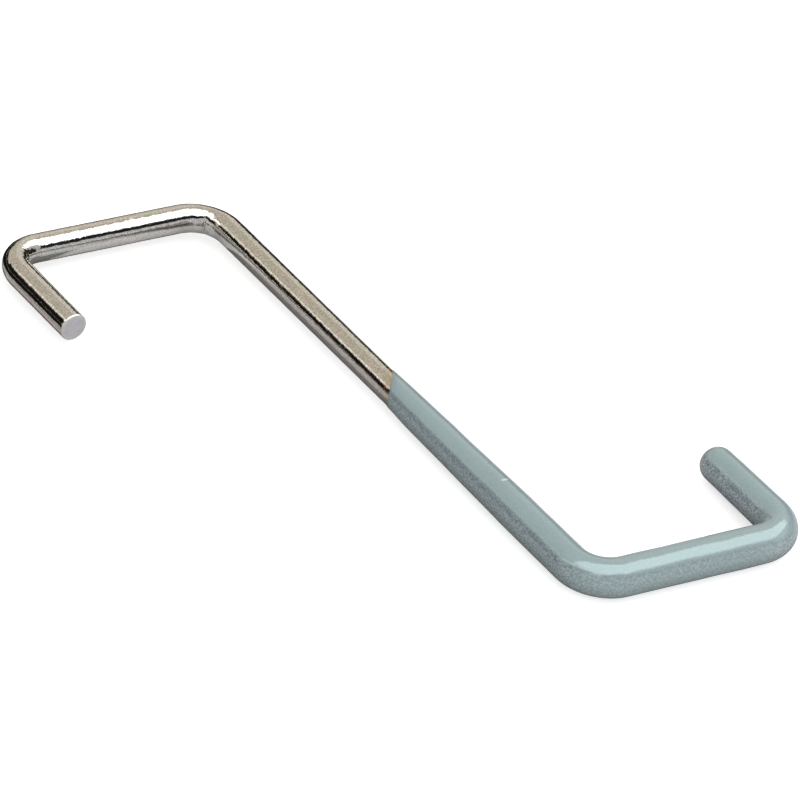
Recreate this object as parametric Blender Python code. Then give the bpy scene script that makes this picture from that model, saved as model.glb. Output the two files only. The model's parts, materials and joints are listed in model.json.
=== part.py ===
"""A double-ended square hook: one bent, bright-plated steel bar, half of it dipped in soft vinyl.

Seen from above the bar runs in an S: a short leg, an arm, a long straight shank, a second arm and a
second short leg, with a right-angle bend between each and the next. The bar lies flat, +X runs along
the shank from the plain hook to the coated one, +Y points from the plain arm's leg to the shank, and
+Z is up. The origin is at the middle of the whole hook's footprint, on the surface it lies on.
"""

import math

import bmesh
import bpy
from mathutils import Matrix, Vector

MM = 0.001

# The bar, between its centrelines.
BAR_DIAMETER = 10 * MM
SHANK_LENGTH = 240 * MM
PLAIN_ARM = 84 * MM
COATED_ARM = 82 * MM
LEG_LENGTH = 48 * MM
BEND_RADIUS = 13 * MM
END_CHAMFER = 0.4 * MM

# The vinyl coat. Its lip leans, because the hook hung at a slant when it was dipped.
COAT_START = 116.5 * MM
COAT_LIP = 0.6 * MM
COAT_FULL = 1.8 * MM
COAT_AT_TIP = 1.25 * MM
COAT_THINS_OVER = 60 * MM
COAT_BUILD_UP = ((15 * MM, 0.7 * MM), (40 * MM, 1.05 * MM), (80 * MM, 1.65 * MM), (130 * MM, COAT_FULL))
LIP_LEAN = -1.3
LIP_LEAN_OVER = 16 * MM
FIT_GAP = 0.3 * MM
TIP_LENGTH = 2.9 * MM
DOME_DEPTH = 4.5 * MM
DOME_FLATNESS = 2.4
DOME_LAST_ANGLE = math.radians(72)

# How finely the round shapes are divided.
SIDES = 24
STEPS_PER_BEND = 10
STEPS_IN_DOME = 5
SHARP_ANGLE = math.radians(35)


class Centreline:
    """The bar's centreline in plan: straights joined by equal bends, measured by distance along it."""

    def __init__(self, corners, bend_radius):
        self.bend_radius = bend_radius
        self.pieces = []
        self.bends = []
        self.length = 0.0
        start = corners[0]
        for i in range(1, len(corners)):
            heading = (corners[i] - corners[i - 1]).normalized()
            last = i == len(corners) - 1
            turn = 0.0 if last else heading.xy.angle_signed((corners[i + 1] - corners[i]).xy)
            cut = bend_radius * math.tan(abs(turn) / 2)
            end = corners[i] - heading * cut
            self._add(start, heading, (end - start).length, 0.0)
            if not last:
                self._add(end, heading, bend_radius * abs(turn), -turn)
                start = corners[i] + (corners[i + 1] - corners[i]).normalized() * cut

    def _add(self, start, heading, length, turn):
        if turn:
            self.bends.append((self.length, self.length + length))
        self.pieces.append((self.length, start, heading, length, turn))
        self.length += length

    def frame_at(self, distance):
        """A matrix whose X points to the bar's left, Y up, and Z along the bar, at that distance."""
        reached = [p for p in self.pieces if p[0] <= distance + 1e-9]
        begins, start, heading, length, turn = reached[-1]
        along = distance - begins
        left = Vector((0, 0, 1)).cross(heading)
        if turn:
            centre = start + left * math.copysign(self.bend_radius, turn)
            turned = Matrix.Rotation(turn * along / length, 3, "Z")
            place = centre + turned @ (start - centre)
            heading = turned @ heading
            left = turned @ left
        else:
            place = start + heading * along
        frame = Matrix((left, Vector((0, 0, 1)), heading)).transposed().to_4x4()
        frame.translation = place
        return frame

    def stops(self, first, last):
        """Distances from first to last that the sections need: both ends, and steps round each bend."""
        found = {first, last}
        for begins, ends in self.bends:
            for k in range(STEPS_PER_BEND + 1):
                distance = begins + (ends - begins) * k / STEPS_PER_BEND
                if first < distance < last:
                    found.add(distance)
        return sorted(found)


def hook_centreline():
    """The S that the bar follows, placed so that the whole hook's footprint is centred on the origin."""
    half = SHANK_LENGTH / 2
    bar = BAR_DIAMETER / 2
    corners = (
        (-half + LEG_LENGTH, -PLAIN_ARM),
        (-half, -PLAIN_ARM),
        (-half, 0.0),
        (half, 0.0),
        (half, COATED_ARM),
        (half - LEG_LENGTH, COATED_ARM),
    )
    coated = bar + COAT_FULL
    middle_x = (coated - bar) / 2
    middle_y = (COATED_ARM + coated - PLAIN_ARM - bar) / 2
    return Centreline([Vector((x - middle_x, y - middle_y, coated)) for x, y in corners], BEND_RADIUS)


def section(line, distance, radius, lean=0.0):
    """Places a unit circle as the bar's section there, leaning forward by lean times its left offset."""
    leaning = Matrix.Identity(4)
    leaning[2][0] = lean
    return line.frame_at(distance) @ leaning @ Matrix.Diagonal((radius, radius, radius, 1))


def sweep(mesh, sections):
    """Extrudes a circle through the sections and returns its first and last rings of edges."""
    ring = bmesh.ops.create_circle(mesh, segments=SIDES, radius=1, cap_ends=False)["verts"]
    bmesh.ops.transform(mesh, matrix=sections[0], verts=ring)
    edges = list({edge for vert in ring for edge in vert.link_edges})
    first = edges
    for before, after in zip(sections, sections[1:]):
        grown = bmesh.ops.extrude_edge_only(mesh, edges=edges)["geom"]
        ring = [part for part in grown if isinstance(part, bmesh.types.BMVert)]
        corners = set(ring)
        edges = [
            part for part in grown if isinstance(part, bmesh.types.BMEdge) and corners.issuperset(part.verts)
        ]
        bmesh.ops.transform(mesh, matrix=after @ before.inverted(), verts=ring)
    return first, edges


def add_object(name, mesh, colour, metallic, roughness):
    """Turns the finished bmesh into a smooth-shaded object with its own material."""
    bmesh.ops.recalc_face_normals(mesh, faces=mesh.faces)
    data = bpy.data.meshes.new(name)
    mesh.to_mesh(data)
    mesh.free()
    data.shade_smooth()
    data.set_sharp_from_angle(angle=SHARP_ANGLE)
    finish = bpy.data.materials.new(name)
    finish.use_nodes = True
    shader = finish.node_tree.nodes["Principled BSDF"]
    shader.inputs["Base Color"].default_value = (*colour, 1)
    shader.inputs["Metallic"].default_value = metallic
    shader.inputs["Roughness"].default_value = roughness
    data.materials.append(finish)
    made = bpy.data.objects.new(name, data)
    bpy.context.scene.collection.objects.link(made)
    return made


def bent_bar(line):
    """The steel bar, one piece from cut end to cut end, with both rims chamfered."""
    radius = BAR_DIAMETER / 2
    sections = [section(line, 0, radius - END_CHAMFER)]
    sections += [section(line, d, radius) for d in line.stops(END_CHAMFER, line.length - END_CHAMFER)]
    sections.append(section(line, line.length, radius - END_CHAMFER))
    mesh = bmesh.new()
    for ring in sweep(mesh, sections):
        bmesh.ops.contextual_create(mesh, geom=ring)
    return add_object("bent_bar", mesh, colour=(0.72, 0.70, 0.66), metallic=1.0, roughness=0.22)


def coat_thickness(from_lip, coat_length):
    """The vinyl's thickness over the bar: thin at the lip, building up, and a little thinner at the tip."""
    profile = [(0.0, COAT_LIP), *COAT_BUILD_UP]
    profile += [(coat_length - COAT_THINS_OVER, COAT_FULL), (coat_length, COAT_AT_TIP)]
    for (near, thin), (far, thick) in zip(profile, profile[1:]):
        if from_lip <= far:
            return thin + (thick - thin) * (from_lip - near) / (far - near)
    return COAT_AT_TIP


def vinyl_coat(line):
    """The dip-moulded vinyl: a closed-ended sleeve round the bar, open at its leaning lip.

    One sweep makes its skin, from the bottom of the bore out to the lip and back along the outside.
    """
    bar = BAR_DIAMETER / 2
    lip = line.bends[1][1] + COAT_START - BEND_RADIUS
    dome = line.length + TIP_LENGTH - DOME_DEPTH
    length = dome - lip

    def lean_at(distance):
        return LIP_LEAN * max(0.0, 1 - (distance - lip) / LIP_LEAN_OVER)

    build_up_stops = {lip + from_lip for from_lip, _ in COAT_BUILD_UP}
    outer_stops = sorted(build_up_stops | {lip + LIP_LEAN_OVER} | set(line.stops(lip, dome)))
    outside = [section(line, d, bar + coat_thickness(d - lip, length), lean_at(d)) for d in outer_stops]
    for k in range(1, STEPS_IN_DOME + 1):
        angle = DOME_LAST_ANGLE * k / STEPS_IN_DOME
        radius = (bar + COAT_AT_TIP) * math.cos(angle) ** (2 / DOME_FLATNESS)
        depth = DOME_DEPTH * (math.sin(angle) / math.sin(DOME_LAST_ANGLE)) ** (2 / DOME_FLATNESS)
        outside.append(section(line, dome, radius) @ Matrix.Translation((0, 0, depth / radius)))

    bore = bar + FIT_GAP
    inner_stops = sorted({lip + LIP_LEAN_OVER} | set(line.stops(lip, line.length)))
    inside = [section(line, d, bore, lean_at(d)) for d in inner_stops]
    inside.append(section(line, line.length, bore) @ Matrix.Translation((0, 0, FIT_GAP / bore)))

    mesh = bmesh.new()
    for ring in sweep(mesh, inside[::-1] + outside):
        bmesh.ops.contextual_create(mesh, geom=ring)
    return add_object("vinyl_coat", mesh, colour=(0.33, 0.41, 0.40), metallic=0.0, roughness=0.38)


def main():
    for old in list(bpy.data.objects):
        bpy.data.objects.remove(old)
    line = hook_centreline()
    bent_bar(line)
    vinyl_coat(line)


main()
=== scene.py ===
"""The looks of a double-ended square hook: a bent, bright-plated steel bar, half dipped in grey vinyl.

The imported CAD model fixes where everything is. Two finer pieces stand for its two nodes: the bar, with
the marks that bending, shearing and plating leave on it, and the vinyl skin, which starts as a feather
edge at its leaning lip, thickens towards the hook and closes over the bar's end in a soft dome.
"""

import json
import logging
import math
from dataclasses import dataclass
from enum import Enum

import bpy
import numpy as np
from mathutils import Matrix, Vector


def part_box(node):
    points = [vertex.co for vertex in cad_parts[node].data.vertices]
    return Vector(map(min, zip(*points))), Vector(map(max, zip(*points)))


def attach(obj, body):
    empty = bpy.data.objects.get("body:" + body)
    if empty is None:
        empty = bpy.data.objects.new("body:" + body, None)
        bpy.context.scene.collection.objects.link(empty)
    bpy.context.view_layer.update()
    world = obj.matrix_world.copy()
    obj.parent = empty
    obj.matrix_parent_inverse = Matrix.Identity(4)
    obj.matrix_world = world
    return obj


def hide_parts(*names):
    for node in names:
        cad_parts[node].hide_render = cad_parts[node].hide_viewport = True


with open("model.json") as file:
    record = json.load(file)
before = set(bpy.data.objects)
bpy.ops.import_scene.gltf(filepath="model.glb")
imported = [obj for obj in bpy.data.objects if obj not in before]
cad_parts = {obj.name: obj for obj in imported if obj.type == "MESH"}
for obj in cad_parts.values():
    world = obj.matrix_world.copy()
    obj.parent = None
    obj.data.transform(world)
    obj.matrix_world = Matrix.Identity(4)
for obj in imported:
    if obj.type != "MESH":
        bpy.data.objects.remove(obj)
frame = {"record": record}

log = logging.getLogger("square_hook")

MM = 0.001
BODY = "root"
STRAIGHT = "straight_bar"
PAST_LIP = "past_lip"
SHANK = 4  # the shank's place among the stretches
BARE_SHANK = 103.5 * MM  # how much of it is plated, up to the middle of the vinyl's lip

Colour = tuple[float, float, float]
Triple = tuple[float, float, float]
Range = tuple[float, float]
Corners = tuple[tuple[float, float], ...]
Socket = bpy.types.NodeSocket

AXIS_X: Triple = (1.0, 0.0, 0.0)
AXIS_Z: Triple = (0.0, 0.0, 1.0)
UP = np.array(AXIS_Z)


class Slot(Enum):
    """The record's material slots."""

    STEEL = "plated_steel"
    VINYL = "grey_vinyl"


# The line that both pieces follow


@dataclass(frozen=True)
class Stretch:
    """One straight or one bend of the bar's centreline; turn is its angle to the left, 0 if straight."""

    begins: float
    start: np.ndarray
    heading: np.ndarray
    length: float
    turn: float


class Centreline:
    """The bar's centreline in plan: straights joined by equal bends, measured by distance along it."""

    def __init__(self, corners: list[tuple[float, float]], level: float, bend_radius: float) -> None:
        """Lays the straights and the bends end to end.

        Args:
            corners: where the centrelines of neighbouring stretches cross, with the two free ends.
            level: height of the centreline.
            bend_radius: radius of every bend, to the centreline.
        """
        self.bend_radius = bend_radius
        self.stretches: list[Stretch] = []
        self.length = 0.0
        points = [np.array((x, y, level)) for x, y in corners]
        start = points[0]
        for i in range(1, len(points)):
            heading = (points[i] - points[i - 1]) / np.linalg.norm(points[i] - points[i - 1])
            if i == len(points) - 1:
                self._add(start, heading, float(np.linalg.norm(points[i] - start)), 0.0)
                break
            onward = (points[i + 1] - points[i]) / np.linalg.norm(points[i + 1] - points[i])
            turn = math.atan2(float(np.cross(heading, onward)[2]), float(heading @ onward))
            cut = bend_radius * math.tan(abs(turn) / 2)
            end = points[i] - heading * cut
            self._add(start, heading, float(np.linalg.norm(end - start)), 0.0)
            self._add(end, heading, bend_radius * abs(turn), turn)
            start = points[i] + onward * cut

    def _add(self, start: np.ndarray, heading: np.ndarray, length: float, turn: float) -> None:
        """Appends one stretch."""
        self.stretches.append(Stretch(self.length, start, heading, length, turn))
        self.length += length

    @property
    def bends(self) -> list[Stretch]:
        """The bends, in order."""
        return [stretch for stretch in self.stretches if stretch.turn]

    def follow(self, distance: np.ndarray) -> tuple[np.ndarray, np.ndarray]:
        """Points on the centreline and the directions to the bar's left there.

        Args:
            distance: distances along the bar, in an array of any shape.

        Returns:
            Two arrays of that shape with one more axis for x, y and z.
        """
        point = np.zeros((*distance.shape, 3))
        left = np.zeros_like(point)
        for stretch in self.stretches:
            last = stretch is self.stretches[-1]
            within = (distance >= stretch.begins) | (stretch is self.stretches[0])
            within &= (distance < stretch.begins + stretch.length) | last
            along = distance[within] - stretch.begins
            side = np.cross(UP, stretch.heading)
            if not stretch.turn:
                point[within] = stretch.start + along[:, None] * stretch.heading
                left[within] = side
                continue
            angle = stretch.turn * along / stretch.length
            turned = np.cos(angle)[:, None] * side - np.sin(angle)[:, None] * stretch.heading
            reach = math.copysign(self.bend_radius, stretch.turn)
            point[within] = stretch.start + side * reach - turned * reach
            left[within] = turned
        return point, left

    def stops(self, first: float, last: float, straight_step: float, bend_step: float) -> np.ndarray:
        """Distances for a piece's rings, evenly spaced on each stretch and closer together on the bends.

        Args:
            first: where the piece begins.
            last: where it ends.
            straight_step: largest spacing on a straight.
            bend_step: largest spacing on a bend.

        Returns:
            The distances in order, with both ends among them.
        """
        found: list[np.ndarray] = []
        for stretch in self.stretches:
            low, high = max(first, stretch.begins), min(last, stretch.begins + stretch.length)
            if high <= low:
                continue
            step = bend_step if stretch.turn else straight_step
            found.append(np.linspace(low, high, max(2, math.ceil((high - low) / step) + 1))[:-1])
        return np.append(np.concatenate(found), last)

    def wrap(self, distance: np.ndarray, angle: np.ndarray, radius: np.ndarray) -> np.ndarray:
        """Points on a skin round the centreline.

        Args:
            distance: distance along the bar of each point.
            angle: angle round the bar, from its left towards the top.
            radius: distance from the centreline.

        Returns:
            The points, with one more axis than the arguments.
        """
        point, left = self.follow(distance)
        across = (radius * np.cos(angle))[..., None] * left
        return point + across + (radius * np.sin(angle))[..., None] * UP


@dataclass(frozen=True)
class HookPlan:
    """The hook's main sizes, as the CAD frame and the record's mounts give them."""

    bar_radius: float
    level: float
    plain_arm_x: float
    coated_arm_x: float
    plain_leg_y: float
    shank_y: float
    coated_leg_y: float
    leg_length: float
    bend_radius: float = 13 * MM

    @classmethod
    def from_frame(cls) -> "HookPlan":
        """Reads the sizes from the box of the CAD bar and from the two mounts.

        Returns:
            The plan.
        """
        bar_low, bar_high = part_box("bent_bar")
        mounts = {mount["name"]: mount["pos_m"] for mount in frame["record"]["mounts"]}
        radius = (bar_high.z - bar_low.z) / 2
        plain_arm_x = bar_low.x + radius
        plain_leg_y = mounts["plain_end_face"][1]
        return cls(
            bar_radius=radius,
            level=(bar_low.z + bar_high.z) / 2,
            plain_arm_x=plain_arm_x,
            coated_arm_x=bar_high.x - radius,
            plain_leg_y=plain_leg_y,
            shank_y=2 * mounts["hanging_seat"][1] - plain_leg_y,
            coated_leg_y=bar_high.y - radius,
            leg_length=mounts["plain_end_face"][0] - plain_arm_x,
        )

    def centreline(self) -> Centreline:
        """Lays out the whole bar's centreline.

        Returns:
            The line, from the plated end to the coated one.
        """
        corners = [
            (self.plain_arm_x + self.leg_length, self.plain_leg_y),
            (self.plain_arm_x, self.plain_leg_y),
            (self.plain_arm_x, self.shank_y),
            (self.coated_arm_x, self.shank_y),
            (self.coated_arm_x, self.coated_leg_y),
            (self.coated_arm_x - self.leg_length, self.coated_leg_y),
        ]
        return Centreline(corners, self.level, self.bend_radius)


@dataclass(frozen=True)
class Ripple:
    """Small unevenness: a sum of waves round and along the bar, the same ones for the same seed."""

    seed: int
    depth: float
    shortest: float
    longest: float
    waves: int = 14
    most_round: int = 3

    def at(self, distance: np.ndarray, angle: np.ndarray) -> np.ndarray:
        """Heights of the unevenness, mostly within the depth.

        Args:
            distance: distance along the bar of each point.
            angle: angle round the bar of each point.

        Returns:
            The heights, in an array of the same shape.
        """
        chance = np.random.default_rng(self.seed)
        total = np.zeros(np.broadcast(distance, angle).shape)
        for _ in range(self.waves):
            length = math.exp(chance.uniform(math.log(self.shortest), math.log(self.longest)))
            turns = int(chance.integers(-self.most_round, self.most_round + 1))
            phase = chance.uniform(0, 2 * math.pi)
            total += np.cos(2 * math.pi * distance / length + turns * angle + phase)
        return self.depth * total / math.sqrt(self.waves)


@dataclass(frozen=True)
class LipLine:
    """Where the vinyl begins round the bar: a leaning, slightly wandering line."""

    middle: float
    lean: float = -1.3
    wander: Ripple = Ripple(seed=31, depth=0.22 * MM, shortest=40 * MM, longest=90 * MM, most_round=6)

    def at(self, angle: np.ndarray, radius: float) -> np.ndarray:
        """The lip's distance along the bar, at angles round a bar of the given radius."""
        return self.middle + self.lean * radius * np.cos(angle) + self.wander.at(0 * angle, angle)


# Mesh making


def round_bar(sides: int) -> np.ndarray:
    """The angles of a ring's points, evenly spaced round the bar."""
    return np.linspace(0, 2 * math.pi, sides, endpoint=False)


@dataclass
class Skin:
    """A grid of rings that closes on itself round the bar and at both ends, with a row for each ring."""

    name: str
    line: Centreline
    distance: np.ndarray
    radius: np.ndarray

    def __post_init__(self) -> None:
        """Works out the angle of each point round the bar."""
        self.angle = np.broadcast_to(round_bar(self.distance.shape[1]), self.distance.shape)

    def mesh(self) -> bpy.types.Mesh:
        """Joins the rings and closes both ends.

        Returns:
            The mesh, with a small flat polygon over each end ring.
        """
        points = self.line.wrap(self.distance, self.angle, self.radius).reshape(-1, 3)
        index = np.arange(len(points)).reshape(self.distance.shape)
        after = np.roll(index, -1, axis=1)
        quads = np.stack([index[:-1], after[:-1], after[1:], index[1:]], axis=-1).reshape(-1, 4)
        faces = quads.tolist() + [index[0][::-1].tolist(), index[-1].tolist()]
        made = bpy.data.meshes.new(self.name)
        made.from_pydata(points.tolist(), [], faces)
        made.update()
        return made

    def object(self, lip: LipLine, bar_radius: float) -> bpy.types.Object:
        """Makes the smooth-shaded object, with the coordinates that its finish reads.

        Args:
            lip: where the vinyl begins, for the distance past it.
            bar_radius: radius that the straightened bar's coordinates use.

        Returns:
            The object, linked to the scene.
        """
        made = self.mesh()
        made.shade_smooth()
        across, up = bar_radius * np.cos(self.angle), bar_radius * np.sin(self.angle)
        straight = made.attributes.new(STRAIGHT, "FLOAT_VECTOR", "POINT")
        values = np.stack([across, up, self.distance], axis=-1)
        straight.data.foreach_set("vector", values.astype(np.float32).ravel())
        past_lip = made.attributes.new(PAST_LIP, "FLOAT", "POINT")
        values = self.distance - lip.at(self.angle, bar_radius)
        past_lip.data.foreach_set("value", values.astype(np.float32).ravel())
        shown = bpy.data.objects.new(self.name, made)
        bpy.context.scene.collection.objects.link(shown)
        return shown


def smooth_step(low: float, high: float, value: np.ndarray) -> np.ndarray:
    """0 below low, 1 above high, and a smooth rise between them."""
    share = np.clip((value - low) / (high - low), 0, 1)
    return share * share * (3 - 2 * share)


def bump_at(middle: float, spread: float, value: np.ndarray) -> np.ndarray:
    """A bell of height 1 round the middle, which falls to about a third at the spread."""
    return np.exp(-(((value - middle) / spread) ** 2))


def fit_to_body(piece: bpy.types.Object, node: str) -> None:
    """Ties a finished piece to the frame.

    Args:
        piece: the object.
        node: the CAD node that it stands for.
    """
    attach(piece, BODY)
    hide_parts(node)
    log.info("%s: %d faces, stands for %s", piece.name, len(piece.data.polygons), node)


# Node trees


class Nodes:
    """Adds nodes to one tree and links them."""

    def __init__(self, tree: bpy.types.NodeTree) -> None:
        """Starts on an empty tree."""
        self.tree = tree
        tree.nodes.clear()

    def add(self, kind: str, values: dict | None = None, **settings: object) -> bpy.types.Node:
        """Adds one node.

        Args:
            kind: the node's type, without the leading ShaderNode.
            values: what goes into its inputs, by name or number: a value, or a socket to link.
            settings: the node's own properties.

        Returns:
            The node.
        """
        node = self.tree.nodes.new("ShaderNode" + kind)
        for name, setting in settings.items():
            setattr(node, name, setting)
        for name, value in (values or {}).items():
            self.feed(node.inputs[name], value)
        return node

    def feed(self, socket: Socket, value: object) -> None:
        """Links a socket to an input, or sets the input to a value.

        Args:
            socket: the input.
            value: the socket or the value. A colour leaves its alpha out.
        """
        if isinstance(value, Socket):
            self.tree.links.new(value, socket)
        elif socket.type == "RGBA":
            socket.default_value = (*value, 1.0)
        else:
            socket.default_value = value

    def maths(self, operation: str, *values: object) -> Socket:
        """One arithmetic step on numbers, each a value or a socket."""
        return self.add("Math", dict(enumerate(values)), operation=operation).outputs[0]

    def times(self, first: object, second: object) -> Socket:
        """The product of two numbers."""
        return self.maths("MULTIPLY", first, second)

    def plus(self, first: object, second: object) -> Socket:
        """The sum of two numbers."""
        return self.maths("ADD", first, second)

    def less(self, first: object, second: object) -> Socket:
        """The first number less the second."""
        return self.maths("SUBTRACT", first, second)

    def vector(self, operation: str, *values: object) -> Socket:
        """One arithmetic step on vectors; it puts out a number if the step makes one."""
        node = self.add("VectorMath", dict(enumerate(values)), operation=operation)
        return node.outputs["Value" if operation in ("DOT_PRODUCT", "LENGTH") else "Vector"]

    def rise(self, value: object, low: object, high: object) -> Socket:
        """0 below low, 1 above high, smooth between."""
        wanted = {"Value": value, "From Min": low, "From Max": high}
        return self.add("MapRange", wanted, interpolation_type="SMOOTHSTEP").outputs["Result"]

    def between(self, share: object, low: float, high: float) -> Socket:
        """A number that goes evenly from low to high as the share goes from 0 to 1."""
        return self.add("MapRange", {"Value": share, "To Min": low, "To Max": high}).outputs["Result"]

    def mix(self, share: object, first: object, second: object) -> Socket:
        """Mixes two colours, each a value or a socket."""
        return self.add("Mix", {0: share, 6: first, 7: second}, data_type="RGBA").outputs[2]

    def noise(self, coordinates: object, detail: float = 2.0, roughness: float = 0.5) -> Socket:
        """Noise one unit in size, from about 0.3 to 0.7."""
        values = {"Vector": coordinates, "Scale": 1.0, "Detail": detail, "Roughness": roughness}
        return self.add("TexNoise", values).outputs["Fac"]

    def placed(self, group: bpy.types.NodeTree, values: dict) -> Socket:
        """The output of a node group that is placed with values in its inputs, by name."""
        return self.add("Group", values, node_tree=group).outputs[0]


class Effect(Nodes):
    """A shader node group with named inputs and one output, built once and placed where it is wanted."""

    def __init__(self, name: str, inputs: dict[str, str], output: str = "Mask") -> None:
        """Makes the empty group.

        Args:
            name: the group's name.
            inputs: each input's name and kind of socket.
            output: the name of the number that it puts out.
        """
        super().__init__(bpy.data.node_groups.new(name, "ShaderNodeTree"))
        for label, kind in inputs.items():
            self.tree.interface.new_socket(label, in_out="INPUT", socket_type="NodeSocket" + kind)
        self.tree.interface.new_socket(output, in_out="OUTPUT", socket_type="NodeSocketFloat")
        self.inputs = self.tree.nodes.new("NodeGroupInput").outputs
        self.out = self.tree.nodes.new("NodeGroupOutput").inputs[0]

    def scaled(self) -> Socket:
        """Stretches the group's coordinates and makes its size their unit.

        Returns:
            The coordinates for a noise.
        """
        stretched = self.vector("MULTIPLY", self.inputs["Coordinates"], self.inputs["Stretch"])
        size = self.maths("DIVIDE", 1.0, self.inputs["Size"])
        return self.add("VectorMath", {0: stretched, "Scale": size}, operation="SCALE").outputs[0]

    def ends(self, value: Socket) -> bpy.types.NodeTree:
        """Puts the value out and returns the finished group."""
        self.feed(self.out, value)
        return self.tree


class Effects:
    """The effects that the finishes share."""

    patterned: dict[str, str] = {"Coordinates": "Vector", "Size": "Float", "Stretch": "Vector"}

    def __init__(self) -> None:
        """Builds each group once."""
        self.blotches = self._blotches()
        self.relief = self._relief()
        self.scratches = self._scratches()
        self.lip_fade = self._lip_fade()
        self.spot = self._spot()

    def _blotches(self) -> bpy.types.NodeTree:
        """Soft-edged patches: a mask that is 1 inside a patch. A higher Contrast makes edges firmer.

        Returns:
            The group.
        """
        effect = Effect("soft_blotches", {**self.patterned, "Contrast": "Float"})
        raw = effect.noise(effect.scaled(), detail=3.0, roughness=0.55)
        half = effect.maths("DIVIDE", 0.25, effect.inputs["Contrast"])
        return effect.ends(effect.rise(raw, effect.less(0.5, half), effect.plus(0.5, half)))

    def _relief(self) -> bpy.types.NodeTree:
        """Fine unevenness of the surface: a height, in the scene's unit, for a Bump.

        Returns:
            The group.
        """
        effect = Effect("fine_relief", {**self.patterned, "Depth": "Float"}, "Height")
        raw = effect.noise(effect.scaled(), roughness=0.6)
        return effect.ends(effect.times(raw, effect.inputs["Depth"]))

    def _scratches(self) -> bpy.types.NodeTree:
        """Thin broken lines, as handling leaves: a mask that is 1 in a scratch.

        Returns:
            The group.
        """
        effect = Effect("handling_scratches", {**self.patterned, "Width": "Float"})
        place = effect.scaled()
        line = effect.maths("ABSOLUTE", effect.less(effect.noise(place, detail=1.0), 0.5))
        thin = effect.less(1.0, effect.rise(line, 0.0, effect.inputs["Width"]))
        moved = effect.vector("ADD", place, (17.0, 5.0, 11.0))
        return effect.ends(effect.times(thin, effect.rise(effect.noise(moved), 0.56, 0.66)))

    @staticmethod
    def _lip_fade() -> bpy.types.NodeTree:
        """1 at the vinyl's lip, falling to 0 at Reach on the vinyl's side or on the bare side.

        Returns:
            The group.
        """
        effect = Effect("lip_fade", {"Past Lip": "Float", "Reach": "Float", "Raggedness": "Float"})
        away = effect.maths("ABSOLUTE", effect.inputs["Past Lip"])
        ragged = effect.times(effect.inputs["Raggedness"], effect.inputs["Reach"])
        share = effect.maths("DIVIDE", effect.plus(away, ragged), effect.inputs["Reach"])
        return effect.ends(effect.less(1.0, effect.rise(share, 0.0, 1.0)))

    @staticmethod
    def _spot() -> bpy.types.NodeTree:
        """One soft mark: 1 at its Centre, falling to 0 at its Spread, which differs by axis.

        Returns:
            The group.
        """
        effect = Effect("spot", {"Coordinates": "Vector", "Centre": "Vector", "Spread": "Vector"})
        away = effect.vector("SUBTRACT", effect.inputs["Coordinates"], effect.inputs["Centre"])
        share = effect.vector("LENGTH", effect.vector("DIVIDE", away, effect.inputs["Spread"]))
        return effect.ends(effect.less(1.0, effect.rise(share, 0.5, 1.0)))


@dataclass(frozen=True)
class Pattern:
    """One use of an effect; a larger stretch packs it closer along that axis.

    The amount is a blotch's contrast, a relief's depth or a scratch's width.
    """

    size: float
    stretch: Triple = (1.0, 1.0, 1.0)
    amount: float = 1.0


class Surface(Nodes):
    """A material's nodes: its shader, and the shared effects laid out in its own coordinates."""

    def __init__(self, name: str, effects: Effects | None = None) -> None:
        """Makes a material with a Principled shader linked to its output.

        Args:
            name: the material's name.
            effects: the shared effects, if it uses any.
        """
        self.made = bpy.data.materials.new(name)
        self.made.use_nodes = True
        super().__init__(self.made.node_tree)
        self.effects = effects
        self.shader = self.add("BsdfPrincipled")
        self.add("OutputMaterial", {"Surface": self.shader.outputs[0]})
        self.place: Socket | None = None

    def follow_bar(self) -> Socket:
        """Takes the straightened bar's coordinates, and returns the distance past the lip."""
        self.place = self.add("Attribute", attribute_name=STRAIGHT).outputs["Vector"]
        return self.add("Attribute", attribute_name=PAST_LIP).outputs["Fac"]

    def stay_put(self) -> None:
        """Takes the object's own coordinates."""
        self.place = self.add("TexCoord").outputs["Object"]

    def laid(self, effect: bpy.types.NodeTree, pattern: Pattern, amount: tuple[str, object]) -> Socket:
        """Lays out an effect with a pattern's size and stretch; the amount names and fills its last input."""
        values = {"Coordinates": self.place, "Size": pattern.size, "Stretch": pattern.stretch}
        return self.placed(effect, {**values, amount[0]: amount[1]})

    def blotches(self, pattern: Pattern) -> Socket:
        """Lays out soft patches."""
        return self.laid(self.effects.blotches, pattern, ("Contrast", pattern.amount))

    def relief(self, pattern: Pattern, depth: Socket | None = None) -> Socket:
        """Lays out fine unevenness, as deep as the pattern says or as a socket does."""
        return self.laid(self.effects.relief, pattern, ("Depth", pattern.amount if depth is None else depth))

    def layered(self, ground: Colour, *layers: tuple[Socket, Colour]) -> Socket:
        """Lays colours over one another.

        Args:
            ground: the lowest colour.
            layers: the mask and the colour of each layer above it, in order.

        Returns:
            The mixed colour.
        """
        colour = ground
        for mask, tone in layers:
            colour = self.mix(mask, colour, tone)
        return colour

    def near_lip(self, past_lip: Socket, reach: float, ragged: Socket) -> Socket:
        """A mask that fades away from the lip, with a ragged edge."""
        values = {"Past Lip": past_lip, "Reach": reach, "Raggedness": ragged}
        return self.placed(self.effects.lip_fade, values)

    def finished(self, values: dict, height: Socket | None = None) -> bpy.types.Material:
        """Feeds the shader.

        Args:
            values: what goes into its inputs, by name: a value, or a socket to link.
            height: the height of the surface's unevenness.

        Returns:
            The material.
        """
        for name, value in values.items():
            self.feed(self.shader.inputs[name], value)
        if height is not None:
            bump = self.add("Bump", {"Height": height, "Strength": 1.0, "Distance": 1.0})
            self.feed(self.shader.inputs["Normal"], bump.outputs["Normal"])
        return self.made


# Finishes


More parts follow.
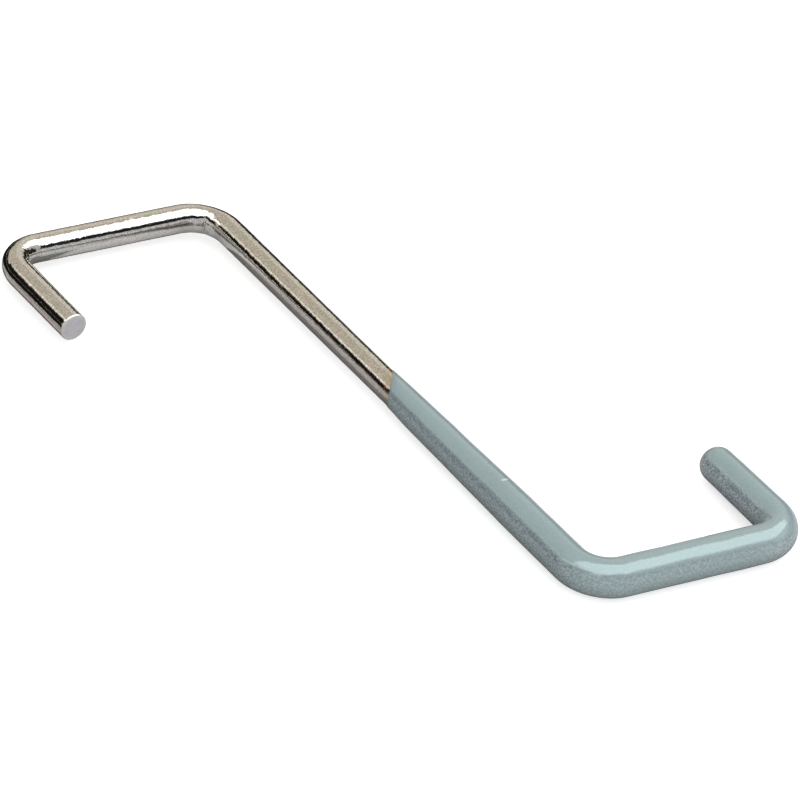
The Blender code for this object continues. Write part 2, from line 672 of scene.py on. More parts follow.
@dataclass(frozen=True)
class BrightPlating:
    """Bright plating on drawn bar: warm, faintly mottled, rippled across, and stained beside the vinyl."""

    warm: Colour = (0.92, 0.88, 0.83)
    green: Colour = (0.82, 0.89, 0.80)
    pink: Colour = (0.94, 0.82, 0.82)
    dull: Colour = (0.36, 0.34, 0.31)
    stain: Colour = (0.50, 0.36, 0.17)
    green_patches: Pattern = Pattern(7 * MM, (1.0, 1.0, 0.55), 1.2)
    pink_patches: Pattern = Pattern(7 * MM * 0.55, (1.3, 1.3, 1.0), 1.4)
    pink_share: float = 0.6
    streaks: Pattern = Pattern(0.6 * MM, (0.25, 0.25, 1.0))
    streak_share: float = 0.34
    speckles: Pattern = Pattern(0.55 * MM, (0.9, 0.9, 1.0))
    speckle_share: float = 0.80
    stain_edge: Pattern = Pattern(1.6 * MM)
    stain_raggedness: Range = (-0.25, 0.35)
    stain_reach: float = 7 * MM
    stain_share: float = 0.42
    stain_roughness: float = 0.2
    scratches: Pattern = Pattern(3 * MM, (1.0, 1.0, 0.12), 0.02)
    scratch_roughness: float = 0.18
    scratch_depth: float = 0.004 * MM
    roughness: Range = (0.045, 0.11)
    ripples: Pattern = Pattern(0.9 * MM, (0.3, 0.3, 1.0), 0.042 * MM)
    peel: Pattern = Pattern(2.4 * MM, (0.8, 0.8, 1.0), 0.085 * MM)

    def material(self, effects: Effects) -> bpy.types.Material:
        """Makes the plating, in the straightened bar's coordinates.

        Args:
            effects: the shared effects.

        Returns:
            The material.
        """
        made = Surface("bright_plating", effects)
        past_lip = made.follow_bar()
        pinkish = made.blotches(self.pink_patches)
        ragged = made.between(made.blotches(self.stain_edge), *self.stain_raggedness)
        stained = made.times(made.near_lip(past_lip, self.stain_reach, ragged), self.stain_share)
        colour = made.layered(
            self.warm,
            (made.blotches(self.green_patches), self.green),
            (made.times(pinkish, self.pink_share), self.pink),
            (made.times(made.blotches(self.streaks), self.streak_share), self.dull),
            (made.times(made.blotches(self.speckles), self.speckle_share), self.dull),
            (stained, self.stain),
        )

        scratched = made.laid(effects.scratches, self.scratches, ("Width", self.scratches.amount))
        rough = made.between(pinkish, *self.roughness)
        rough = made.plus(rough, made.times(scratched, self.scratch_roughness))
        rough = made.plus(rough, made.times(stained, self.stain_roughness))
        height = made.plus(made.relief(self.ripples), made.relief(self.peel))
        height = made.less(height, made.times(scratched, self.scratch_depth))
        return made.finished({"Base Color": colour, "Metallic": 1.0, "Roughness": rough}, height)


@dataclass(frozen=True)
class ShearedSteel:
    """The sheared end of the bar under its plating: pale grey, matt, with fine parallel marks and a painted
    highlight on its rim.
    """

    centre_y: float
    centre_z: float
    colour: Colour = (0.84, 0.84, 0.87)
    dark: Colour = (0.56, 0.55, 0.60)
    # Lighter colour of the ring by the rim: a painted highlight of the rounded rim.
    rim_band: Colour = (0.80, 0.82, 0.78)
    rim_highlight_from: Range = (4.0 * MM, 4.4 * MM)
    marks: Pattern = Pattern(0.35 * MM, (1.0, 0.15, 1.0), 0.8)
    mark_share: float = 0.35
    clouds: Pattern = Pattern(2.5 * MM)
    cloud_share: float = 0.3
    grooves: Pattern = Pattern(0.35 * MM, (1.0, 0.15, 1.0), 0.05 * MM)
    roughness: float = 0.5

    def material(self, effects: Effects) -> bpy.types.Material:
        """Makes the cut face's finish, in object coordinates, because the marks run straight across it.

        Args:
            effects: the shared effects.

        Returns:
            The material.
        """
        made = Surface("sheared_steel", effects)
        made.stay_put()
        lined = made.times(made.blotches(self.marks), self.mark_share)
        clouded = made.times(made.blotches(self.clouds), self.cloud_share)
        # The ring by the rim is made lighter by its distance from the face's centre: a painted highlight.
        away = made.vector("SUBTRACT", made.place, (0.0, self.centre_y, self.centre_z))
        radial = made.vector("LENGTH", made.vector("MULTIPLY", away, (0.0, 1.0, 1.0)))
        rim_band = made.rise(radial, *self.rim_highlight_from)
        colour = made.layered(self.colour, (made.plus(lined, clouded), self.dark), (rim_band, self.rim_band))
        values = {"Base Color": colour, "Metallic": 1.0, "Roughness": self.roughness}
        return made.finished(values, made.relief(self.grooves))


@dataclass(frozen=True)
class DippedVinyl:
    """Soft grey-green vinyl from a dip tank: satin, grained, bluer where it is thin at the lip, with painted
    shade on its lower side.
    """

    body: Colour = (0.305, 0.392, 0.400)
    shade: Colour = (0.240, 0.305, 0.320)
    # Darkest tone, for the flecks and for the painted shade at the dome's end.
    deep: Colour = (0.150, 0.172, 0.188)
    # Darker colour laid over the sides and underside: painted shade.
    thin: Colour = (0.225, 0.280, 0.300)
    below: Colour = (0.275, 0.330, 0.340)
    # Lighter colour laid over the lower side of the coated leg and the end of the arm before it: painted
    # light.
    pale: Colour = (0.50, 0.55, 0.57)
    scuff: Colour = (0.62, 0.70, 0.70)
    clouds: Pattern = Pattern(9 * MM, (1.0, 1.0, 0.5))
    cloud_share: float = 0.25
    thin_reach: float = 5 * MM
    thin_raggedness: Range = (-0.2, 0.3)
    level_side: Range = (0.45, 0.80)
    shade_below_share: float = 0.6
    # Where the painted light on the lower side comes in, along the bar.
    painted_light_from: Range = (412 * MM, 448 * MM)
    painted_light_share: float = 0.8
    grain: Pattern = Pattern(0.48 * MM, amount=1.3)
    # Share of the grain on top and on the lower side; the extra grain on the lower side is painted shade.
    grain_and_shade_share: Range = (0.6, 1.0)
    # Darker flecks on the lower side, fewer where it faces +X: grain and painted shade.
    flecks: Pattern = Pattern(0.48 * MM * 1.25, (1.2, 1.0, 1.0), 1.6)
    outward_side: Range = (0.1, 0.7)
    fleck_and_shade_share: Range = (1.0, 0.62)
    # Painted shade over the end of the dome, along the bar.
    tip_shade_from: Range = (479.5 * MM, 481.5 * MM)
    tip_shade_share: float = 0.6
    nick: Triple = (0.3 * MM, 5.0 * MM, 306.1 * MM)
    nick_spread: Triple = (1.4 * MM, 3.0 * MM, 0.7 * MM)
    nick_share: float = 0.85
    roughness: Range = (0.05, 0.085)
    specular: float = 1.0
    specular_tint: Colour = (0.78, 1.0, 1.0)
    pebbles: Pattern = Pattern(0.5 * MM)
    pebble_depth: Range = (0.022 * MM, 0.085 * MM)
    peel: Pattern = Pattern(2.6 * MM, (1.0, 1.0, 0.7), 0.060 * MM)

    def material(self, effects: Effects) -> bpy.types.Material:
        """Makes the vinyl, in the straightened bar's coordinates.

        Args:
            effects: the shared effects.

        Returns:
            The material.
        """
        made = Surface("dipped_vinyl", effects)
        past_lip = made.follow_bar()
        normal = made.add("TexCoord").outputs["Normal"]
        upward = made.vector("DOT_PRODUCT", normal, AXIS_Z)
        outward = made.rise(made.vector("DOT_PRODUCT", normal, AXIS_X), *self.outward_side)
        along = made.vector("DOT_PRODUCT", made.place, AXIS_Z)
        lower_side = made.less(1.0, made.rise(upward, *self.level_side))
        cloud = made.blotches(self.clouds)

        ragged = made.between(cloud, *self.thin_raggedness)
        painted_light_mask = made.times(made.rise(along, *self.painted_light_from), lower_side)
        flecks_and_shade = made.times(made.blotches(self.flecks), lower_side)
        nick = {"Coordinates": made.place, "Centre": self.nick, "Spread": self.nick_spread}
        colour = made.layered(
            self.body,
            (made.times(cloud, self.cloud_share), self.shade),
            (made.near_lip(past_lip, self.thin_reach, ragged), self.thin),
            # Painted shade over the sides and underside.
            (made.times(lower_side, self.shade_below_share), self.below),
            # Painted light on the lower side, towards the coated leg.
            (made.times(painted_light_mask, self.painted_light_share), self.pale),
            # Grain, stronger on the lower side as painted shade.
            (made.times(made.blotches(self.grain), made.between(lower_side, *self.grain_and_shade_share)), self.shade),
            # Darker flecks on the lower side: grain and painted shade.
            (made.times(flecks_and_shade, made.between(outward, *self.fleck_and_shade_share)), self.deep),
            # Painted shade over the end of the dome.
            (made.times(made.rise(along, *self.tip_shade_from), self.tip_shade_share), self.deep),
            (made.times(made.placed(effects.spot, nick), self.nick_share), self.scuff),
        )

        values = {
            "Base Color": colour,
            "Roughness": made.between(cloud, *self.roughness),
            "Specular IOR Level": self.specular,
            "Specular Tint": self.specular_tint,
        }
        depth = made.between(lower_side, *self.pebble_depth)
        return made.finished(values, made.plus(made.relief(self.pebbles, depth), made.relief(self.peel)))


@dataclass(frozen=True)
class StudioPaper:
    """The plain pale floor, lit from inside like a light table, so the hook throws only a faint shadow.

    What it gives back to the hook, as light and in the bright plating, is dimmer than what the eye sees.
    """

    pale: Colour = (0.74, 0.74, 0.735)
    bounced: Colour = (0.56, 0.53, 0.51)
    mirrored: Colour = (0.52, 0.495, 0.485)
    mirrored_right: Colour = (0.62, 0.63, 0.655)
    right_side: Range = (0.02, 0.22)
    glow: Colour = (0.60, 0.60, 0.60)
    no_glow: Colour = (0.0, 0.0, 0.0)
    roughness: float = 0.9
    specular: float = 0.1
    tooth: Pattern = Pattern(1.5 * MM, amount=0.02 * MM)

    def material(self, effects: Effects) -> bpy.types.Material:
        """Makes the paper's finish, with a barely visible tooth.

        Args:
            effects: the shared effects.

        Returns:
            The material.
        """
        made = Surface("studio_paper", effects)
        made.stay_put()
        ray = made.add("LightPath").outputs
        across = made.rise(made.vector("DOT_PRODUCT", made.place, AXIS_X), *self.right_side)
        mirrored = made.mix(across, self.mirrored, self.mirrored_right)
        tone = made.mix(ray["Is Glossy Ray"], self.bounced, mirrored)
        values = {
            "Base Color": made.mix(ray["Is Camera Ray"], tone, self.pale),
            "Emission Color": made.mix(ray["Is Camera Ray"], self.no_glow, self.glow),
            "Emission Strength": 1.0,
            "Roughness": self.roughness,
            "Specular IOR Level": self.specular,
        }
        return made.finished(values, made.relief(self.tooth))


@dataclass(frozen=True)
class MattCard:
    """The finish of a matt card."""

    name: str
    colour: Colour

    def material(self) -> bpy.types.Material:
        """Makes the card's finish."""
        values = {"Base Color": self.colour, "Roughness": 1.0, "Specular IOR Level": 0.0}
        return Surface(self.name).finished(values)


# The two pieces


@dataclass
class SteelBar:
    """The bent bar, with a sheared face at each end and the marks of its four cold bends."""

    plan: HookPlan
    lip: LipLine
    sides: int = 96
    straight_step: float = 0.75 * MM
    bend_step: float = 0.3 * MM
    rim: float = 0.70 * MM
    rim_rings: int = 6
    matt_rim_rings: int = 5
    face_rings: int = 12
    last_ring: float = 0.25 * MM
    dish: float = 0.10 * MM
    outer_flat: float = 0.020
    inner_swell: float = 0.014
    crease: float = 0.18 * MM
    crease_spread: float = 0.34 * MM
    fold_angle: float = 0.38
    crease_power: float = 2.5
    works_beyond: float = 0.25
    waviness: Ripple = Ripple(seed=7, depth=0.012 * MM, shortest=9 * MM, longest=45 * MM)
    hammering: Ripple = Ripple(
        seed=19, depth=0.012 * MM, shortest=3.5 * MM, longest=8 * MM, waves=30, most_round=5
    )
    rim_wander: Ripple = Ripple(seed=12, depth=0.07 * MM, shortest=1.0, longest=2.0, most_round=9)

    def radius_at(self, distance: np.ndarray, angle: np.ndarray) -> np.ndarray:
        """The bar's radius: round on the straights, and worked by the bending tool at each bend.

        Args:
            distance: distance along the bar of each point, with a row for each ring.
            angle: angles round the bar of a ring's points.

        Returns:
            The radii, in an array of the distances' shape.
        """
        share = np.ones_like(distance)
        beyond = self.works_beyond
        for bend in self.plan.centreline().bends:
            along = (distance - bend.begins) / bend.length
            bent = smooth_step(-beyond, beyond, along) * (1 - smooth_step(1 - beyond, 1 + beyond, along))
            outer = -math.copysign(1, bend.turn) * np.cos(angle)
            share -= bent * self.outer_flat * np.clip(outer, 0, 1) ** 2
            share += bent * self.inner_swell * np.clip(-outer, 0, 1) ** 2
            middle = bend.begins + bend.length / 2
            inside = np.clip(-outer, 0, 1) ** self.crease_power / self.plan.bar_radius
            share -= self.crease * bump_at(middle, self.crease_spread, distance) * inside
            off_fold = np.clip(self.fold_angle - np.abs(distance - middle) / self.plan.bend_radius, 0, None)
            inner_radius = self.plan.bend_radius - self.plan.bar_radius
            share -= inner_radius * (1 / np.cos(off_fold) - 1) * inside
        uneven = self.waviness.at(distance, angle) + self.hammering.at(distance, angle)
        return self.plan.bar_radius * share + uneven

    def build(self) -> tuple[Skin, int]:
        """Lays the rings from the plated end's face to the coated end's.

        Returns:
            The skin, and how many of its rings at each end take the cut face's finish.
        """
        line, bar = self.plan.centreline(), self.plan.bar_radius
        angle, whole_ring = round_bar(self.sides), np.ones(self.sides)
        rim_band = self.rim + self.rim_wander.at(0 * angle, angle)
        face = np.linspace(self.last_ring, bar - self.rim, self.face_rings, endpoint=False)
        dish = self.dish * (1 - (face / bar) ** 2)
        turn = np.linspace(0, math.pi / 2, self.rim_rings, endpoint=False)
        end = np.concatenate([np.outer(dish, whole_ring), np.outer(1 - np.cos(turn), rim_band)])
        end_radius = np.concatenate([np.outer(face, whole_ring), bar - np.outer(1 - np.sin(turn), rim_band)])
        stops = line.stops(self.rim, line.length - self.rim, self.straight_step, self.bend_step)
        along = np.outer(stops, whole_ring)
        along[0], along[-1] = rim_band, line.length - rim_band
        distance = np.concatenate([end, along, line.length - end[::-1]])
        radius = np.concatenate([end_radius, self.radius_at(along, angle), end_radius[::-1]])
        return Skin("steel_bar", line, distance, radius), len(face) + self.matt_rim_rings

    def dress(self, plating: bpy.types.Material, cut: bpy.types.Material) -> None:
        """Makes the bar, finishes it and ties it to the frame.

        Args:
            plating: the finish of the bar's skin.
            cut: the finish of its end faces.
        """
        skin, face_rings = self.build()
        bar = skin.object(self.lip, self.plan.bar_radius)
        bar.data.materials.append(plating)
        bar.data.materials.append(cut)
        rings = len(skin.distance)
        index = np.zeros(len(bar.data.polygons), dtype=np.int32)
        index[: face_rings * self.sides] = 1
        index[(rings - 1 - face_rings) * self.sides :] = 1
        bar.data.polygons.foreach_set("material_index", index)
        fit_to_body(bar, "bent_bar")


@dataclass
class VinylCoat:
    """The dipped skin: a feather edge at the lip, thickening along the shank, closed over the bar's end."""

    plan: HookPlan
    lip: LipLine
    sides: int = 96
    straight_step: float = 1.0 * MM
    bend_step: float = 0.5 * MM
    bore_straight_step: float = 4.0 * MM
    bore_bend_step: float = 1.0 * MM
    feather: float = 0.10 * MM
    tip_thickness: float = 1.25 * MM
    thins_over: float = 60 * MM
    build_up: tuple[Range, ...] = (
        (0.8 * MM, 0.22 * MM),
        (15 * MM, 0.68 * MM),
        (40 * MM, 1.05 * MM),
        (80 * MM, 1.65 * MM),
        (130 * MM, 1.80 * MM),
    )
    softening: float = 3 * MM
    soft_from: Range = (2 * MM, 8 * MM)
    lip_rings: tuple[float, ...] = (0.0, 0.25 * MM, 0.5 * MM, 0.8 * MM, 1.2 * MM, 1.8 * MM)
    plain_rings_from: float = 2.6 * MM
    lean_fades_over: float = 22 * MM
    tip_length: float = 2.9 * MM
    dome_depth: float = 5.8 * MM
    dome_flatness: float = 2.15
    dome_rings: int = 26
    dome_last_angle: float = math.radians(86)
    bottom_first: float = 0.3 * MM
    bottom_rings: int = 5
    snug: float = 0.02 * MM
    unevenness: Ripple = Ripple(seed=5, depth=0.035 * MM, shortest=14 * MM, longest=60 * MM)
    uneven_from: Range = (2 * MM, 20 * MM)
    even_before_dome: float = 8 * MM

    def thickness_at(self, from_lip: np.ndarray, length: float) -> np.ndarray:
        """The vinyl's thickness over the bar, without its unevenness.

        Args:
            from_lip: distance past the lip.
            length: the coat's length from the lip to where the dome begins.

        Returns:
            The thickness, in an array of the same shape.
        """
        known = [(0.0, self.feather), *self.build_up]
        known += [(length - self.thins_over, known[-1][1]), (length, self.tip_thickness)]
        at, thick = zip(*known)
        shifts = (-self.softening, 0.0, self.softening)
        softened = [np.interp(from_lip + shift, at, thick) for shift in shifts]
        far = smooth_step(*self.soft_from, from_lip)
        return far * sum(softened) / 3 + (1 - far) * softened[1]

    def build(self) -> Skin:
        """Lays the rings from the bottom of the bore out to the lip and back along the outside.

        Returns:
            The skin.
        """
        line, bar = self.plan.centreline(), self.plan.bar_radius
        angle, whole_ring = round_bar(self.sides), np.ones(self.sides)
        middle = self.lip.middle
        lean = self.lip.at(angle, bar) - middle
        dome = line.length + self.tip_length - self.dome_depth
        length = dome - middle

        def leaning(stops: np.ndarray) -> np.ndarray:
            """Distances of whole rings, which lean with the lip where they begin."""
            fade = 1 - smooth_step(0, self.lean_fades_over, stops - middle)
            return np.outer(stops, whole_ring) + np.outer(fade, lean)

        plain_stops = line.stops(middle + self.plain_rings_from, dome, self.straight_step, self.bend_step)
        stops = np.concatenate([middle + np.array(self.lip_rings), plain_stops])
        outside = leaning(stops)
        from_lip = (stops - middle)[:, None]
        settled = smooth_step(*self.uneven_from, from_lip)
        settled = settled * (1 - smooth_step(length - self.even_before_dome, length, from_lip))
        thick = self.thickness_at(from_lip, length) + settled * self.unevenness.at(outside, angle)

        turn = np.linspace(0, self.dome_last_angle, self.dome_rings + 1)[1:]
        drop = self.dome_depth * np.sin(turn) ** (2 / self.dome_flatness)
        shrink = np.cos(turn) ** (2 / self.dome_flatness)

        bore = bar + self.snug
        bore_stops = line.stops(middle, line.length, self.bore_straight_step, self.bore_bend_step)
        inside = leaning(bore_stops)[::-1]
        bottom = np.linspace(self.bottom_first, bore, self.bottom_rings, endpoint=False)
        bottom_at = np.full((self.bottom_rings, self.sides), line.length + self.snug)

        distance = [bottom_at, inside, outside, np.outer(dome + drop, whole_ring)]
        tip_radius = np.outer((bar + self.tip_thickness) * shrink, whole_ring)
        radius = [np.outer(bottom, whole_ring), np.full_like(inside, bore), bar + thick, tip_radius]
        return Skin("vinyl_grip", line, np.concatenate(distance), np.concatenate(radius))

    def dress(self, vinyl: bpy.types.Material) -> None:
        """Makes the coat, finishes it and ties it to the frame.

        Args:
            vinyl: its finish.
        """
        coat = self.build().object(self.lip, self.plan.bar_radius)
        coat.data.materials.append(vinyl)
        fit_to_body(coat, "vinyl_coat")


# Studio


def towards(azimuth: float, elevation: float) -> Vector:
    """The direction from the hook at an azimuth, 0 to the front and 90 to +X, and an elevation."""
    a, e = math.radians(azimuth), math.radians(elevation)
    return Vector((math.sin(a) * math.cos(e), -math.cos(a) * math.cos(e), math.sin(e)))


@dataclass(frozen=True)
class Card:
    """A lit or a dark card in the room, as the hook's reflections show it.

    The centre and the two half sides are in metres from the hook. The soft edge is a share of a half side.
    """

    name: str
    centre: Triple
    half_a: Triple
    half_b: Triple
    colour: Colour
    soft: float = 0.08

    def values(self, direction: bpy.types.NodeSocket) -> dict:
        """The card's own values for the shared card effect.

        Args:
            direction: the direction that a reflection looks in.

        Returns:
            The values by the effect's input names.
        """
        centre, a, b = Vector(self.centre), Vector(self.half_a), Vector(self.half_b)
        facing = a.cross(b)
        side_a = b.cross(facing) / a.dot(b.cross(facing))
        side_b = facing.cross(a) / b.dot(facing.cross(a))
        return {
            "Direction": direction,
            "Facing": facing / centre.dot(facing),
            "Side A": side_a,
            "Side B": side_b,
            "Middle A": centre.dot(side_a),
            "Middle B": centre.dot(side_b),
            "Soft": self.soft,
        }


@dataclass(frozen=True)
class Surroundings:
    """What the hook stands in: even soft light, and walls and cards that only reflections show."""

    even: Colour = (1.0, 1.0, 1.0)
    even_strength: float = 0.86
    wall: Colour = (0.66, 0.61, 0.515)
    cool_wall: Colour = (0.66, 0.68, 0.70)
    cool_side: Range = (-0.25, 0.2)
    barely_ahead: float = 0.01
    cards: tuple[Card, ...] = (
        Card("pale_back_left", (-0.79, 0.61, 0.62), (0.13, 0.17, 0), (0, 0, 0.27), (0.84, 0.80, 0.70), 0.25),
        Card("dark_back", (-0.05, 1.0, 0.22), (0.62, 0, 0), (0, 0, 0.24), (0.030, 0.028, 0.022)),
        Card(
            "dark_back_left", (-0.669, 0.743, 0.05), (0.15, 0.135, 0), (0, 0, 0.25), (0.02, 0.02, 0.015), 0.2
        ),
        Card("dark_right", (1.0, 0.20, 0.915), (0, 0.85, -0.13), (0, 0, 0.415), (0.020, 0.021, 0.022), 0.06),
        Card("dark_front", (0.14, -1.0, 0.69), (0.45, 0, 0.32), (0, 0, 0.24), (0.020, 0.021, 0.022), 0.1),
        Card("dark_left", (-0.95, -0.10, 0.02), (0.05, 0.50, 0), (0, 0, 0.17), (0.012, 0.011, 0.008), 0.15),
        Card("dark_front_left", (-0.76, -0.65, 0.12), (0.18, -0.20, 0), (0, 0, 0.29), (0.012, 0.011, 0.008)),
        Card("cream_strip", (-0.72, -0.72, 0.61), (0.16, -0.12, 0.03), (0, 0, 0.09), (1.25, 1.22, 1.10), 0.6),
        Card("front_strip", (-0.50, -1.14, 1.0), (0.71, 0.46, 0), (-0.07, 0.10, 0), (2.5, 2.5, 2.4), 0.3),
        Card("overhead_box", (0.245, -0.04, 1.0), (0.505, 0, 0), (0, 0.64, 0), (3.1, 3.1, 3.1), 0.03),
        Card("far_box", (0.0, 0.852, 1.0), (0.770, -0.557, 0), (0.211, 0.292, 0), (3.1, 3.1, 3.1), 0.03),
    )

    def card_effect(self) -> bpy.types.NodeTree:
        """Makes a mask that is 1 where a direction meets the card.

        Returns:
            The group.
        """
        vectors = dict.fromkeys(("Direction", "Facing", "Side A", "Side B"), "Vector")
        numbers = dict.fromkeys(("Middle A", "Middle B", "Soft"), "Float")
        effect = Effect("studio_card", {**vectors, **numbers})
        inputs = effect.inputs
        ahead = effect.vector("DOT_PRODUCT", inputs["Direction"], inputs["Facing"])
        mask = effect.maths("GREATER_THAN", ahead, self.barely_ahead)
        inner, outer = effect.less(1.0, inputs["Soft"]), effect.plus(1.0, inputs["Soft"])
        for side in "AB":
            reach = effect.vector("DOT_PRODUCT", inputs["Direction"], inputs["Side " + side])
            reach = effect.less(effect.maths("DIVIDE", reach, ahead), inputs["Middle " + side])
            outside = effect.rise(effect.maths("ABSOLUTE", reach), inner, outer)
            mask = effect.times(mask, effect.less(1.0, outside))
        return effect.ends(mask)

    def build(self) -> None:
        """Makes the world and gives it to the scene."""
        world = bpy.data.worlds.new("studio")
        world.use_nodes = True
        world.cycles.sampling_method = "NONE"
        nodes = Nodes(world.node_tree)
        direction = nodes.add("TexCoord").outputs["Generated"]
        effect = self.card_effect()
        side = nodes.vector("DOT_PRODUCT", direction, AXIS_X)
        colour = nodes.mix(nodes.rise(side, *self.cool_side), self.wall, self.cool_wall)
        for card in self.cards:
            colour = nodes.mix(nodes.placed(effect, card.values(direction)), colour, card.colour)
            log.info("card %s", card.name)
        seen = nodes.add("Background", {"Color": colour, "Strength": 1.0}).outputs[0]
        lit = nodes.add("Background", {"Color": self.even, "Strength": self.even_strength}).outputs[0]
        mirrored = nodes.add("LightPath").outputs["Is Glossy Ray"]
        both = nodes.add("MixShader", {0: mirrored, 1: lit, 2: seen}).outputs[0]
        nodes.add("OutputWorld", {"Surface": both})
        bpy.context.scene.world = world


@dataclass(frozen=True)
class Softbox:
    """A large square lamp aimed at the hook. Reflections don't show it, because the cards stand for it."""

    name: str
    azimuth: float
    elevation: float
    power: float
    distance: float = 1.6
    size: float = 1.1

    def build(self) -> None:
        """Hangs the lamp."""
        lamp = bpy.data.lights.new(self.name, "AREA")
        lamp.shape = "SQUARE"
        lamp.size = self.size
        lamp.energy = self.power
        made = bpy.data.objects.new(self.name, lamp)
        direction = towards(self.azimuth, self.elevation)
        made.location = direction * self.distance
        made.rotation_mode = "QUATERNION"
        made.rotation_quaternion = direction.to_track_quat("Z", "Y")
        made.visible_glossy = False
        made.visible_camera = False
        bpy.context.scene.collection.objects.link(made)
        log.info("lamp %s", self.name)


@dataclass(frozen=True)
class Viewpoint:
    """The camera: a long lens from the front right, tilted a little to the left."""

    azimuth: float = 51.823
    elevation: float = 32.094
    roll: float = -10.262
    distance: float = 3.0685
    lens: float = 410.81
    sensor: float = 36.0
    sees_to: float = 100.0
    aim_along: float = 3.9 * MM
    aim_across: float = -0.76 * MM

    def build(self, plan: HookPlan) -> None:
        """Places the camera and makes it the scene's.

        Args:
            plan: the hook's sizes, for the middle of its shank.
        """
        middle = Vector(((plan.plain_arm_x + plan.coated_arm_x) / 2, plan.shank_y, plan.level))
        aim = middle + Vector((self.aim_along, self.aim_across, 0))
        back = towards(self.azimuth, self.elevation)
        right = Vector(AXIS_Z).cross(back).normalized()
        roll = math.radians(self.roll)
        top = math.cos(roll) * back.cross(right) + math.sin(roll) * right
        data = bpy.data.cameras.new("camera")
        data.sensor_width = self.sensor
        data.lens = self.lens
        data.clip_end = self.sees_to
        camera = bpy.data.objects.new("camera", data)
        turned = Matrix((top.cross(back), top, back)).transposed().to_4x4()
        camera.matrix_world = Matrix.Translation(aim + back * self.distance) @ turned
        bpy.context.scene.collection.objects.link(camera)
        bpy.context.scene.camera = camera


@dataclass(frozen=True)
class FloorCard:
    """A flat card lying just above the floor, with its corners in plan.

    Its depth is how far below the hook it lies, as a share of how far the floor does. The corners of one
    by the bend count from where the plain arm and the shank cross.
    """

    name: str
    finish: MattCard
    corners: Corners
    depth: float = 1 / 2
    by_bend: bool = False


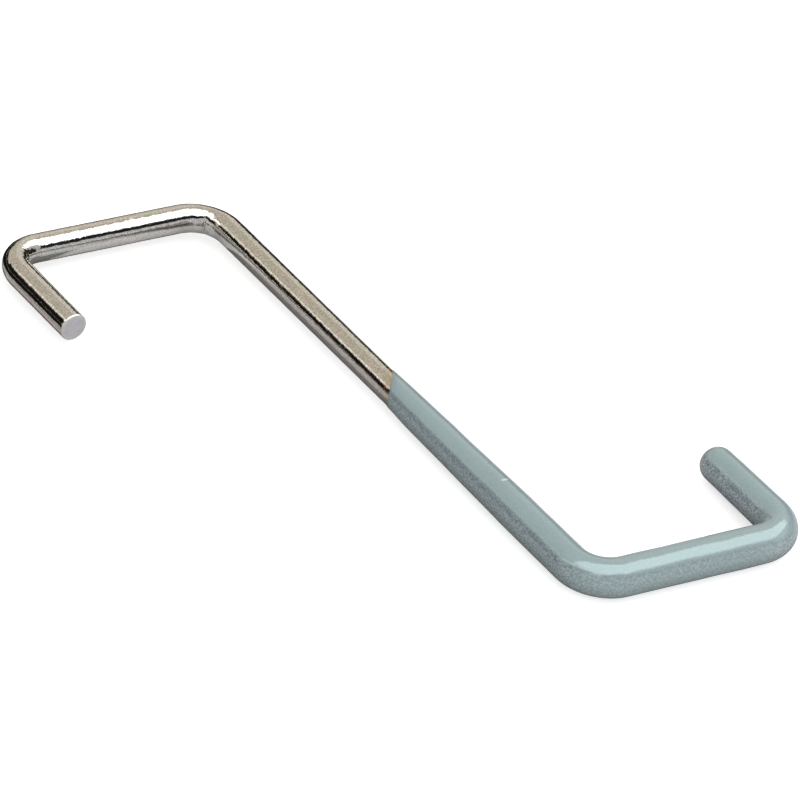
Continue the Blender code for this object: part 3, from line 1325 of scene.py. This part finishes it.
@dataclass(frozen=True)
class Studio:
    """The floor, the cards lying on it that only reflections show, the lamps and the surroundings."""

    floor_half: float = 12.0
    below_hook: float = 0.05 * MM
    black: MattCard = MattCard("black_card", (0.010, 0.009, 0.008))
    black_corners: Corners = (
        (-0.60, -0.060), (-0.132, -0.060), (-0.134, -0.0995),
        (-0.060, -0.1045), (-0.040, -0.60), (-0.60, -0.60),
    )
    black_left_corners: Corners = ((-0.60, -0.060), (-0.137, -0.060), (-0.137, 0.200), (-0.60, 0.60))
    cool: MattCard = MattCard("cool_card", (0.62, 0.64, 0.66))
    cool_corners: Corners = ((-0.112, -0.072), (-0.060, -0.072), (-0.060, -0.036), (-0.112, -0.036))
    inner: MattCard = MattCard("inner_card", (0.76, 0.75, 0.785))
    inner_corners: Corners = (
        (0.003, -0.066), (0.022, -0.036), (0.024, -0.026), (0.014, -0.003), (0.003, -0.003),
    )
    pink: MattCard = MattCard("pink_card", (0.74, 0.65, 0.67))
    pink_corners: Corners = ((-0.124, -0.0940), (-0.078, -0.0953), (-0.078, -0.0893), (-0.116, -0.0893))
    shade: MattCard = MattCard("grey_card", (0.30, 0.29, 0.285))
    shade_half: float = 13 * MM
    shade_depth: float = 1 / 3
    shade_straight_step: float = 5 * MM
    shade_bend_step: float = 1 * MM
    surroundings: Surroundings = Surroundings()
    softboxes: tuple[Softbox, ...] = (
        Softbox("softbox_top", azimuth=160, elevation=68, power=2),
        Softbox("softbox_right", azimuth=78, elevation=10, power=14),
        Softbox("softbox_back", azimuth=180, elevation=42, power=4),
    )

    @property
    def cards(self) -> list[FloorCard]:
        """The cards on the floor, apart from the strip under the hook."""
        return [
            FloorCard("black_flag", self.black, self.black_corners),
            FloorCard("black_flag_left", self.black, self.black_left_corners),
            FloorCard("cool_sheet", self.cool, self.cool_corners),
            FloorCard("inner_sheet", self.inner, self.inner_corners, depth=1 / 4, by_bend=True),
            FloorCard("pink_sheet", self.pink, self.pink_corners, depth=1 / 4),
        ]

    def laid(self, name: str, corners: list[list], faces: list[tuple], depth: float) -> bpy.types.Object:
        """Lays a flat mesh that isn't part of the hook.

        Args:
            name: its name.
            corners: its corners, at height 0.
            faces: its faces, by the corners' numbers.
            depth: how far below the hook it lies, as a share of how far the floor does.

        Returns:
            The object.
        """
        data = bpy.data.meshes.new(name)
        data.from_pydata(corners, [], faces)
        made = bpy.data.objects.new(name, data)
        made.location.z = -self.below_hook * depth
        bpy.context.scene.collection.objects.link(made)
        return made

    def shade_under(self, line: Centreline) -> bpy.types.Object:
        """Lays a grey strip under the hook, where the real floor would be in its shade.

        Args:
            line: the bar's centreline.

        Returns:
            The strip.
        """
        stops = line.stops(0.0, line.length, self.shade_straight_step, self.shade_bend_step)
        point, left = line.follow(stops)
        sides = [point + left * self.shade_half, point - left * self.shade_half]
        corners = np.stack(sides, axis=1).reshape(-1, 3)
        corners[:, 2] = 0
        faces = [(2 * i, 2 * i + 1, 2 * i + 3, 2 * i + 2) for i in range(len(point) - 1)]
        made = self.laid("shade_under_hook", corners.tolist(), faces, self.shade_depth)
        made.data.materials.append(self.shade.material())
        return made

    def build(self, effects: Effects, plan: HookPlan) -> None:
        """Sets the studio up.

        Args:
            effects: the shared effects.
            plan: the hook's sizes, for the cards that lie by it.
        """
        half = self.floor_half
        corners = [[-half, -half, 0], [half, -half, 0], [half, half, 0], [-half, half, 0]]
        floor = self.laid("floor", corners, [(0, 1, 2, 3)], 1)
        floor.data.materials.append(StudioPaper().material(effects))
        finishes = dict.fromkeys(card.finish for card in self.cards)
        materials = {finish: finish.material() for finish in finishes}
        laid = [self.shade_under(plan.centreline())]
        for card in self.cards:
            x, y = (plan.plain_arm_x, plan.shank_y) if card.by_bend else (0, 0)
            corners = [[x + along, y + across, 0] for along, across in card.corners]
            made = self.laid(card.name, corners, [tuple(range(len(corners)))], card.depth)
            made.data.materials.append(materials[card.finish])
            laid.append(made)
        for made in laid:
            made.visible_camera = False
            made.visible_diffuse = False
            made.visible_shadow = False
            log.info("floor card %s", made.name)
        self.surroundings.build()
        for softbox in self.softboxes:
            softbox.build()
        bpy.context.scene.view_settings.view_transform = "Standard"


def main() -> None:
    """Builds the hook and its studio."""
    logging.basicConfig(level=logging.INFO, format="%(name)s: %(message)s")
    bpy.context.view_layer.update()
    plan = HookPlan.from_frame()
    lip = LipLine(plan.centreline().stretches[SHANK].begins + BARE_SHANK)
    Viewpoint().build(plan)
    effects = Effects()
    cut = ShearedSteel(plan.plain_leg_y, plan.level).material(effects)
    SteelBar(plan, lip).dress(BrightPlating().material(effects), cut)
    VinylCoat(plan, lip).dress(DippedVinyl().material(effects))
    Studio().build(effects, plan)


if __name__ == "__main__":
    main()
